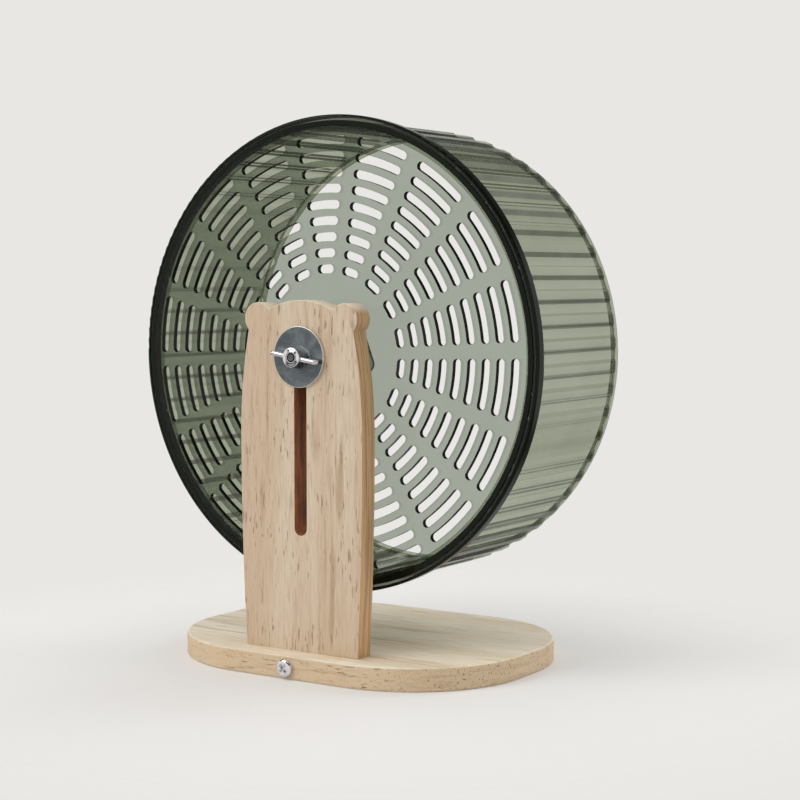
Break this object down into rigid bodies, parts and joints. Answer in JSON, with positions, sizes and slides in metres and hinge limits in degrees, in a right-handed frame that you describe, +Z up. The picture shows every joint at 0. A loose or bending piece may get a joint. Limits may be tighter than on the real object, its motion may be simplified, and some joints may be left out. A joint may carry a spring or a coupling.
{
  "type": "rodent exercise wheel",
  "caption": "Running wheel with a slotted disc and a fluted see-through band on a wooden board stand with a bear-head upright and a height slot.",
  "frame": {"origin": "centre of the base board's underside", "axes": "+Z up; +Y along the axle from the stand's upright into the open side of the wheel; X across the wheel"},
  "size_m": [0.26, 0.1598, 0.301],
  "materials": {
    "base_pine": "satin",
    "upright_pine": "satin",
    "smoke_plastic": "gloss",
    "hub_plastic": "gloss",
    "zinc": "bright zinc",
    "washer_steel": "satin",
    "bearing_steel": "ground",
    "ball_steel": "polished",
    "cage_brass": "satin"
  },
  "bodies": {
    "stand": {"base_plate": "base_pine", "upright": "upright_pine", "base_screw": "zinc"},
    "axle": {"axle_bolt": "zinc", "rear_washer": "washer_steel", "jam_nut": "zinc", "front_collar": "washer_steel", "front_bearing_inner_ring": "bearing_steel", "bearing_sleeve": "washer_steel", "rear_bearing_inner_ring": "bearing_steel", "head_collar": "washer_steel"},
    "clamp": {"front_washer": "washer_steel"},
    "nut": {"wing_nut": "zinc"},
    "drum": {"slotted_disc": "smoke_plastic", "near_hoop": "smoke_plastic", "fluted_band": "smoke_plastic", "far_hoop": "smoke_plastic", "hub_housing": "hub_plastic", "hub_cap": "hub_plastic", "hub_screws": "zinc", "front_bearing_outer_ring": "bearing_steel", "rear_bearing_outer_ring": "bearing_steel"},
    "front_cage": {"front_bearing_cage": "cage_brass", "front_bearing_balls": "ball_steel"},
    "rear_cage": {"rear_bearing_cage": "cage_brass", "rear_bearing_balls": "ball_steel"}
  },
  "joints": [
    {"name": "height_slide", "type": "slide", "parent": "stand", "child": "axle", "axis": [0, 0, 1], "range_m": [-0.028, 0.0035]},
    {"name": "drum_spin", "type": "hinge", "parent": "axle", "child": "drum", "pos_m": [0, 0, 0.171], "axis": [0, 1, 0], "continuous": true},
    {"name": "front_cage_turn", "type": "hinge", "parent": "axle", "child": "front_cage", "pos_m": [0, 0, 0.171], "axis": [0, 1, 0], "continuous": true},
    {"name": "rear_cage_turn", "type": "hinge", "parent": "axle", "child": "rear_cage", "pos_m": [0, 0, 0.171], "axis": [0, 1, 0], "continuous": true},
    {"name": "clamp_travel", "type": "slide", "parent": "axle", "child": "clamp", "axis": [0, -1, 0], "range_m": [0, 0.0011]},
    {"name": "wing_nut_turn", "type": "hinge", "parent": "clamp", "child": "nut", "pos_m": [0, 0, 0.171], "axis": [0, -1, 0], "range_deg": [0, 360]}
  ],
  "couplings": [
    {"joint": "front_cage_turn", "follows": "drum_spin", "ratio": 0.64},
    {"joint": "rear_cage_turn", "follows": "drum_spin", "ratio": 0.64},
    {"joint": "clamp_travel", "follows": "wing_nut_turn", "m_per_rad": 0.000159}
  ]
}
